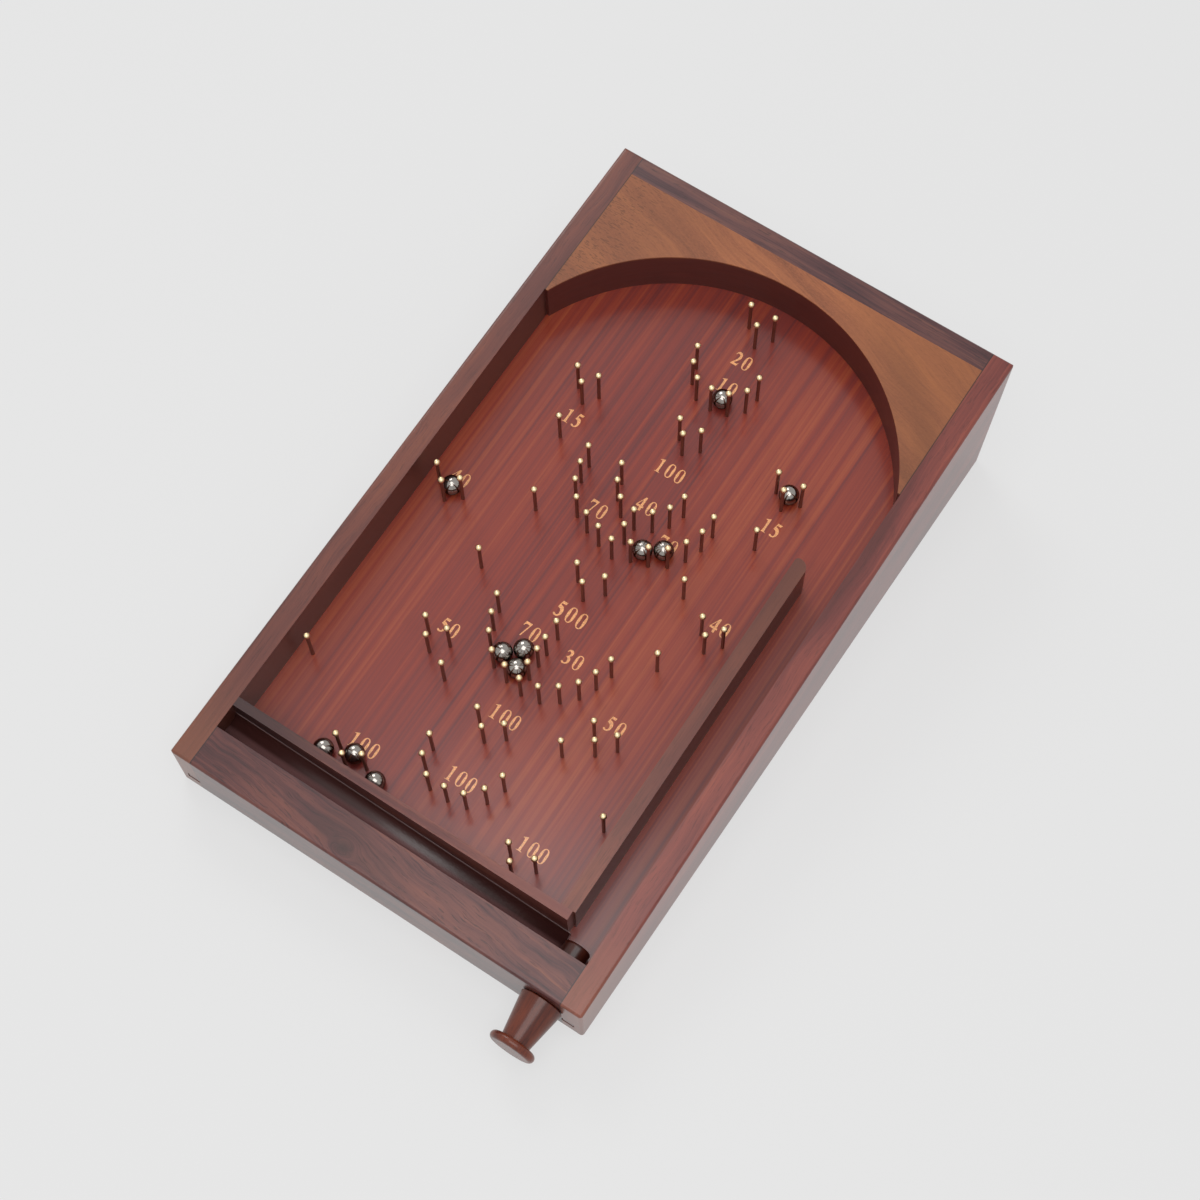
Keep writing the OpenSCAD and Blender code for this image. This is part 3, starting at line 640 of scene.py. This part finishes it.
class BAGATELLE_OT_arch(bpy.types.Operator):
    """Finish the arch block's stained wall and its speckled veneer"""

    bl_idname = "bagatelle.arch"
    bl_label = "Arch"

    arch_centre = 0.0525
    band_radius = 0.114
    band_fade = (0.001, 0.01)
    mottle_scale = (900, 1500, 500)
    tick_scale = (420, 1900, 500)

    def execute(self, context):
        colours = context.scene.bagatelle_colours
        wall = Finish("arch_stain")
        cloud = wall.noise(wall.stretch(wall.place(), (60, 60, 400)), 3)
        colour = wall.blend(cloud, tint(colours.arch, 0.8), tint(colours.arch, 1.25))
        dress("arch_block", wall.set(
            Base__Color=colour, Roughness=0.5, Specular__IOR__Level=0.2,
            Coat__Weight=0.3, Coat__Roughness=0.35, Normal=wall.bump(cloud, 0.0001)))
        veneer = Finish("arch_veneer_wood")
        middle = colours.veneer
        at = veneer.place()
        x, y, z = veneer.parts(at)
        sway = veneer.noise(veneer.stretch(at, (14, 26, 10), (2, 0, 0)), 2)
        across = y + x * 0.33 + (sway - 0.5) * 0.014
        colour, relief = timber(veneer, across, x, z, tones_of(middle, 0.7), 5.2, 0.013, 0.8, 0.25)
        mottle = veneer.noise(veneer.stretch(at, self.mottle_scale), 3, 0.65)
        ticks = veneer.noise(veneer.stretch(at, self.tick_scale, (3, 3, 0)), 2, 0.5)
        lower_left = (1 - x.step(-0.085, -0.055)) * 0.5 + 0.12
        away = (x ** 2 + (y - self.arch_centre) ** 2) ** 0.5
        shadow = (1 - abs(away - self.band_radius).step(*self.band_fade)) * x.step(0.02, 0.06)
        colour = veneer.blend((mottle - 0.42) * 0.9, colour, tint(middle, 1.45))
        colour = veneer.blend(abs(x).step(0.015, 0.07) * 0.42, colour, tint(middle, 0.55))
        colour = veneer.blend(shadow * (sway * 0.8), colour, tint(middle, 0.55))
        colour = veneer.blend(ticks.step(0.55, 0.64) * lower_left, colour, tint(middle, 0.3))
        colour = joint_line(veneer, x, colour, context.scene.bagatelle_sizes.half_inside)
        dress("arch_veneer", satin(veneer, colour, relief + mottle * 0.4, 0.5, 0.45, 0.35))
        return {"FINISHED"}


class BAGATELLE_OT_lane(bpy.types.Operator):
    """Finish the lane rail and the ball stop"""

    bl_idname = "bagatelle.lane"
    bl_label = "Lane Rail and Ball Stop"

    lane_side_painted_shade = (0.03, 0.009, 0.007, 1)
    stop_left_painted_shade = (0.03, 0.014, 0.015, 1)
    stop_right_painted_sheen = (0.2, 0.062, 0.05, 1)

    def execute(self, context):
        colours = context.scene.bagatelle_colours
        lane = Finish("lane_rail_wood")
        x, y, z = lane.parts(lane.place())
        colour, relief = timber(lane, x, y, z, tones_of(colours.lane, 0.8), 9.2, 0.006, 1.0)
        colour = lane.blend(y.step(-0.05, 0.035) * 0.75, colour, tint(colours.lane, 0.5))
        # Painted shade: the lane rail's sides are darkened
        shaded_sides = abs(lane.facing((1, 0, 0))).step(0.5, 0.9)
        colour = lane.blend(shaded_sides * 0.9, colour, self.lane_side_painted_shade)
        dress("lane_rail", satin(lane, colour, relief))
        stop = Finish("ball_stop_wood")
        x, y, z = stop.parts(stop.place())
        colour, relief = timber(stop, y, x, z, tones_of(colours.stop, 0.9), 6.4, 0.005, 1.0, 0.5)
        # Painted shade towards the stop's left end and a painted sheen towards its right end
        colour = stop.blend((1 - x.step(-0.09, 0.0)) * 0.9, colour, self.stop_left_painted_shade)
        colour = stop.blend(x.step(0.0, 0.08) * 0.7, colour, self.stop_right_painted_sheen)
        dress("ball_stop", satin(stop, colour, relief, 0.45, 0.5, 0.28))
        return {"FINISHED"}


class BAGATELLE_OT_trough(bpy.types.Operator):
    """Shape the ball trough's cove right up to the left rail, and finish it in dark gloss"""

    bl_idname = "bagatelle.trough"
    bl_label = "Ball Trough"

    land = 0.0003
    floor_direction = (0, 0.26, 0.966)
    front_direction = (0, 0.76, 0.65)
    # Painted highlight on the cove's floor and painted light on its front side
    floor_painted_highlight = (0.2, 0.092, 0.09, 1)
    front_painted_light = (0.32, 0.085, 0.05, 1)
    pebble_rise = (-0.04, 0.02)

    def execute(self, context):
        piece = bpy.data.objects.new("trough_cove", self.cove(context.scene.bagatelle_sizes))
        piece.data.materials.append(self.gloss(context.scene.bagatelle_colours.trough))
        context.scene.collection.objects.link(piece)
        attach(piece, "board")
        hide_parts("ball_trough")
        return {"FINISHED"}

    def cove(self, sizes):
        """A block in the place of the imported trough, with a sloping cove along its whole length."""
        board = board_matrix(sizes)
        home = frame["nodes"]["ball_trough"]
        to_board = board.inverted() @ home.matrix_world
        corners = [to_board @ vertex.co for vertex in home.data.vertices]
        low = [min(corner[axis] for corner in corners) for axis in range(3)]
        high = [max(corner[axis] for corner in corners) for axis in range(3)]
        radius = sizes.cove_radius
        half = (high[1] - low[1]) / 2
        middle = low[1] + half
        lift = math.sqrt(radius ** 2 - (half - self.land) ** 2)
        spread = math.asin((half - self.land) / radius)
        ends = ((low[0], -sizes.cove_start + radius), (high[0], low[2] + sizes.cove_floor + radius))
        points = []
        for x, axis in ends:
            points += [(x, high[1], low[2]), (x, low[1], low[2]), (x, low[1], axis - lift)]
            for step in range(sizes.cove_segments + 1):
                turn = spread * (2 * step / sizes.cove_segments - 1)
                points.append((x, middle + radius * math.sin(turn), axis - radius * math.cos(turn)))
            points.append((x, high[1], axis - lift))
        ring = len(points) // 2
        faces = [tuple(range(ring)), tuple(range(2 * ring - 1, ring - 1, -1))]
        for i in range(ring):
            j = (i + 1) % ring
            faces.append((j, i, ring + i, ring + j))
        mesh = bpy.data.meshes.new("trough_cove")
        mesh.from_pydata(points, [], faces)
        for face in mesh.polygons[5:-2]:
            face.use_smooth = True
        mesh.transform(board)
        return mesh

    def gloss(self, middle):
        """The floor has a paler painted highlight, the front side a redder painted light, and pebbling grows
        to the right.
        """
        finish = Finish("trough_gloss")
        at = finish.place()
        x = finish.parts(at)[0]
        cloud = finish.noise(finish.stretch(at, (12, 200, 200)), 3)
        streak = finish.noise(finish.stretch(at, (25, 900, 900)), 3)
        colour = finish.blend(cloud, tint(middle, 0.7), tint(middle, 1.5))
        # Painted highlight: the floor is paler where it faces up and a little back
        wear_and_painted_highlight = finish.facing(self.floor_direction).step(0.88, 0.995)
        colour = finish.blend(wear_and_painted_highlight * (cloud * 0.5 + 0.55), colour, self.floor_painted_highlight)
        # Painted light: the front side of the cove is a redder, lighter brown
        lit_front = finish.facing(self.front_direction).step(0.9, 0.99)
        colour = finish.blend(lit_front * (streak * 1.4).held(), colour, self.front_painted_light)
        pebbles = finish.noise(finish.stretch(at, (700, 900, 900)), 2, 0.6)
        rough = x.step(*self.pebble_rise) * 0.8 + 0.2
        return finish.set(
            Base__Color=colour, Roughness=0.4, Specular__IOR__Level=0.3, Coat__Weight=0.55,
            Coat__Roughness=0.36, Coat__IOR=1.55, Normal=finish.bump(pebbles * rough, 0.0002))


class BAGATELLE_OT_plunger(bpy.types.Operator):
    """Finish the plunger's turned wood, its rod and its spring"""

    bl_idname = "bagatelle.plunger"
    bl_label = "Plunger"

    def execute(self, context):
        colours = context.scene.bagatelle_colours
        for name, level in (("plunger_knob", 1.0), ("plunger_striker", 0.5)):
            finish = Finish(name + "_wood")
            x, y, z = finish.parts(finish.place())
            colour, relief = timber(
                finish, x, y, z, tones_of([part * level for part in colours.knob], 1.0), 2.0, 0.008, 0.9)
            dress(name, satin(finish, colour, relief, 0.4, 0.5, 0.17, 0.00003))
        dress("plunger_rod", self.steel("plunger_rod_steel", 0.55))
        self.coil(context, self.steel("plunger_coil_steel", 0.45))
        return {"FINISHED"}

    def steel(self, name, grey):
        finish = Finish(name)
        turned = finish.noise(finish.stretch(finish.place(), (500, 60, 500)), 3)
        return finish.set(
            Base__Color=(grey, grey, grey * 0.97, 1), Metallic=1.0, Roughness=turned * 0.2 + 0.18)

    def coil(self, context, steel):
        """The spring, as a steel copy that rides with the board in place of the imported one."""
        home = frame["nodes"]["plunger_spring"]
        piece = bpy.data.objects.new("plunger_coil", home.data.copy())
        piece.matrix_world = home.matrix_world.copy()
        piece.data.materials.clear()
        piece.data.materials.append(steel)
        context.scene.collection.objects.link(piece)
        slide = next(joint for joint in frame["joints"] if joint["name"] == "plunger_slide")
        inward = -Vector(slide["axis"])
        reach = [(piece.matrix_world @ vertex.co).dot(inward) for vertex in piece.data.vertices]
        length = max(reach) - min(reach)
        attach(piece, "board")
        inward * min(reach)
        1 - max(slide["range_m"]) / length
        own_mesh(piece)
        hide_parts("plunger_spring")


class BAGATELLE_OT_pins(bpy.types.Operator):
    """Finish the pins: polished brass heads on dark red-brown shafts, a painted reflection of the red
    playfield
    """

    bl_idname = "bagatelle.pins"
    bl_label = "Pins"

    shaft_height = 0.0205
    neck_blend = 0.0004
    # The shafts' painted reflection of the red playfield, dark and light
    shaft_painted_reflection_dark = (0.17, 0.06, 0.04, 1)
    shaft_painted_reflection_light = (0.32, 0.13, 0.08, 1)

    def execute(self, context):
        scene = context.scene
        brass = scene.bagatelle_colours.brass
        finish = Finish("pin_brass")
        at = finish.place()
        height = finish.parts(at)[2]
        head = height.step(*self.head_band(scene.bagatelle_sizes))
        tarnish = finish.noise(finish.stretch(at, (700, 700, 300)), 3)
        # Painted reflection: the shafts take the dark red-brown of the playfield seen in them
        shaft_painted_reflection = finish.blend(tarnish, self.shaft_painted_reflection_dark, self.shaft_painted_reflection_light)
        bright = finish.blend(tarnish, tint(brass, 0.88), tint(brass, 1.12))
        material = finish.set(
            Base__Color=finish.blend(head, shaft_painted_reflection, bright), Metallic=1.0,
            Roughness=0.45 - head * 0.15)
        for name in PIN_NODES:
            dress(name, material)
        return {"FINISHED"}

    def head_band(self, sizes):
        """Heights, in the turned but unlifted board axes, between which a shaft ends and its head begins."""
        lift = board_matrix(sizes).translation
        top = lift.y * -math.sin(SLOPE) + lift.z * math.cos(SLOPE)
        neck = top - sizes.field_depth + self.shaft_height
        return neck, neck + self.neck_blend


class BAGATELLE_OT_balls(bpy.types.Operator):
    """Finish the steel balls"""

    bl_idname = "bagatelle.balls"
    bl_label = "Balls"

    limb_tint = (0.16, 0.12, 0.1, 1)

    def execute(self, context):
        finish = Finish("ball_steel")
        at = finish.place()
        wear = finish.noise(finish.stretch(at, (400, 400, 400)), 3)
        steel = context.scene.bagatelle_colours.steel
        material = finish.set(
            Base__Color=finish.blend(wear, tint(steel, 0.85), tint(steel, 1.15)), Metallic=1.0,
            Roughness=wear * 0.1 + 0.08, Specular__Tint=self.limb_tint)
        for name in BALL_NODES:
            dress(name, material)
        return {"FINISHED"}


class BAGATELLE_OT_numerals(bpy.types.Operator):
    """Paint the score numerals on the playfield"""

    bl_idname = "bagatelle.numerals"
    bl_label = "Numerals"

    figure_width = 0.5

    def execute(self, context):
        sizes = context.scene.bagatelle_sizes
        paint = self.paint(context.scene.bagatelle_colours.paint)
        board = board_matrix(sizes)
        for number, (text, x, y) in enumerate(NUMERALS, 1):
            spot = Vector((x / 1000, y / 1000, -sizes.field_depth + sizes.paint_thickness / 2))
            mesh = self.figures(text, sizes)
            mesh.transform(board @ Matrix.Translation(spot))
            mesh.materials.append(paint)
            piece = bpy.data.objects.new(f"numeral_{number:02d}_{text}", mesh)
            context.scene.collection.objects.link(piece)
            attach(piece, "board")
        return {"FINISHED"}

    def paint(self, colour):
        finish = Finish("numeral_paint")
        speckle = finish.noise(finish.stretch(finish.place(), (1800, 1800, 1800)), 2)
        wear_and_painted_highlight = finish.blend(speckle.step(0.35, 0.62), tint(colour, 0.72), tint(colour, 1.12))
        return finish.set(Base__Color=wear_and_painted_highlight, Roughness=0.45, Coat__Weight=1.0, Coat__Roughness=0.16)

    def figures(self, text, sizes):
        """The mesh of one numeral, centred, as thin raised paint."""
        curve = bpy.data.curves.new("figures", "CURVE")
        curve.dimensions = "2D"
        curve.fill_mode = "BOTH"
        curve.extrude = sizes.paint_thickness / 2
        curve.resolution_u = sizes.figure_smoothness
        height = sizes.figure_height * (sizes.large_figures if text == LARGE_NUMERAL else 1)
        step = sizes.figure_step
        left = -(len(text) * step) / 2 + (step - self.figure_width) / 2
        for place, figure in enumerate(text):
            for loop in FIGURES[figure]:
                self.outline(curve, loop, left + place * step, height)
        holder = bpy.data.objects.new("figures", curve)
        mesh = bpy.data.meshes.new_from_object(holder)
        bpy.data.objects.remove(holder)
        bpy.data.curves.remove(curve)
        return mesh

    def outline(self, curve, loop, shift, height):
        spline = curve.splines.new("BEZIER")
        spline.use_cyclic_u = True
        spline.bezier_points.add(len(loop) - 1)
        for point, (x, y, smooth) in zip(spline.bezier_points, loop):
            point.co = ((x + shift) * height, (y - 0.5) * height, 0)
            kind = "AUTO" if smooth else "VECTOR"
            point.handle_left_type = kind
            point.handle_right_type = kind


class BAGATELLE_OT_stage(bpy.types.Operator):
    """Set the floor, the camera and the light"""

    bl_idname = "bagatelle.stage"
    bl_label = "Stage"

    camera_place = Vector((0.21885, -0.31876, 0.93288))
    camera_right = Vector((0.8357, 0.5491, -0.0106))
    camera_forward = Vector((-0.2081, 0.2987, -0.9314))
    lamp_place = Vector((0.225, -0.35, 1.5))
    side_place = Vector((-1.1, 0.9, 1.2))
    floor_half = 12.0
    floor_drop = 0.0002
    floor_glow = 0.78
    sensor_width = 36
    view_end = 20

    def execute(self, context):
        scene = context.scene
        studio = scene.bagatelle_studio
        scene.view_settings.view_transform = "Standard"
        self.camera(scene, studio)
        self.floor(scene, studio)
        self.light(scene, studio)
        return {"FINISHED"}

    def camera(self, scene, studio):
        data = bpy.data.cameras.new("camera")
        data.sensor_width = self.sensor_width
        data.lens = studio.lens
        data.clip_end = self.view_end
        camera = bpy.data.objects.new("camera", data)
        forward = self.camera_forward.normalized()
        right = (self.camera_right - forward * self.camera_right.dot(forward)).normalized()
        turn = Matrix((right, right.cross(forward), -forward)).transposed().to_4x4()
        board = board_matrix(scene.bagatelle_sizes)
        camera.matrix_world = board @ Matrix.Translation(self.camera_place) @ turn
        scene.collection.objects.link(camera)
        scene.camera = camera

    def floor(self, scene, studio):
        half = self.floor_half
        mesh = bpy.data.meshes.new("floor")
        corners = [(-half, -half, 0), (half, -half, 0), (half, half, 0), (-half, half, 0)]
        mesh.from_pydata(corners, [], [(0, 1, 2, 3)])
        mesh.materials.append(self.paper(studio))
        floor = bpy.data.objects.new("floor", mesh)
        floor.location.z = -self.floor_drop
        scene.collection.objects.link(floor)

    def paper(self, studio):
        """Pale paper, which keeps most of its own brightness where it is seen, and the object's shadow."""
        finish = Finish("floor_paper")
        colour = tint(studio.floor)
        finish.set(Base__Color=colour, Roughness=0.9, Specular__IOR__Level=0.0)
        seen = self.seen(finish)
        glow = finish.node("ShaderNodeEmission", {}, {"Color": colour, "Strength": 1.0})
        paper = Value(finish, finish.surface.outputs[0])
        mixed = finish.node("ShaderNodeMixShader", {}, {0: seen * self.floor_glow, 1: paper, 2: glow})
        finish.tree.links.new(mixed.socket, finish.tree.nodes["Material Output"].inputs["Surface"])
        return finish.material

    def seen(self, finish):
        """1 for what the camera sees, straight on, in a mirror or through glass."""
        rays = finish.tree.nodes.new("ShaderNodeLightPath").outputs
        straight, mirrored, through = (
            Value(finish, rays[name]) for name in ("Is Camera Ray", "Is Glossy Ray", "Is Transmission Ray"))
        return straight.math("MAXIMUM", mirrored.math("MAXIMUM", through))

    def light(self, scene, studio):
        sky = Finish("sky", "worlds", "Background")
        scene.world = sky.material
        bright = studio.floor[0] - studio.sky_level
        sky.set(Color=(1, 1, 1, 1), Strength=self.seen(sky) * bright + studio.sky_level)
        board = board_matrix(scene.bagatelle_sizes)
        place = board @ Matrix.Translation(self.lamp_place)
        self.softbox(scene, "softbox", studio.lamp_power, studio.lamp_size, place)
        aim = self.side_place.to_track_quat("Z", "Y").to_matrix().to_4x4()
        place = board @ Matrix.Translation(self.side_place) @ aim
        self.softbox(scene, "side_softbox", studio.side_power, studio.side_size, place)

    def softbox(self, scene, name, power, size, place):
        """A square lamp, which shines along the minus z of its place."""
        lamp = bpy.data.lights.new(name, "AREA")
        lamp.energy = power
        lamp.size = size
        holder = bpy.data.objects.new(name, lamp)
        holder.matrix_world = place
        scene.collection.objects.link(holder)


class BAGATELLE_PT_panel(bpy.types.Panel):
    """The board's finishes and its studio"""

    bl_label = "Bagatelle Board"
    bl_space_type = "VIEW_3D"
    bl_region_type = "UI"
    bl_category = "Bagatelle"

    def draw(self, context):
        layout = self.layout
        scene = context.scene
        for group in (scene.bagatelle_sizes, scene.bagatelle_colours, scene.bagatelle_studio):
            box = layout.box()
            for name in group.__annotations__:
                box.prop(group, name)
        for operator in OPERATORS:
            layout.operator(operator.bl_idname)


OPERATORS = (
    BAGATELLE_OT_rails, BAGATELLE_OT_fillers, BAGATELLE_OT_base, BAGATELLE_OT_playfield, BAGATELLE_OT_arch,
    BAGATELLE_OT_lane, BAGATELLE_OT_trough, BAGATELLE_OT_plunger, BAGATELLE_OT_pins,
    BAGATELLE_OT_balls, BAGATELLE_OT_numerals, BAGATELLE_OT_stage,
)
CLASSES = (BoardSizes, BoardColours, StudioSettings, *OPERATORS, BAGATELLE_PT_panel)


def register():
    for cls in CLASSES:
        bpy.utils.register_class(cls)
    bpy.types.Scene.bagatelle_sizes = PointerProperty(type=BoardSizes)
    bpy.types.Scene.bagatelle_colours = PointerProperty(type=BoardColours)
    bpy.types.Scene.bagatelle_studio = PointerProperty(type=StudioSettings)


def unregister():
    del bpy.types.Scene.bagatelle_studio
    del bpy.types.Scene.bagatelle_colours
    del bpy.types.Scene.bagatelle_sizes
    for cls in reversed(CLASSES):
        bpy.utils.unregister_class(cls)


def main():
    register()
    for operator in OPERATORS:
        group, name = operator.bl_idname.split(".")
        getattr(getattr(bpy.ops, group), name)()


if __name__ == "__main__":
    main()
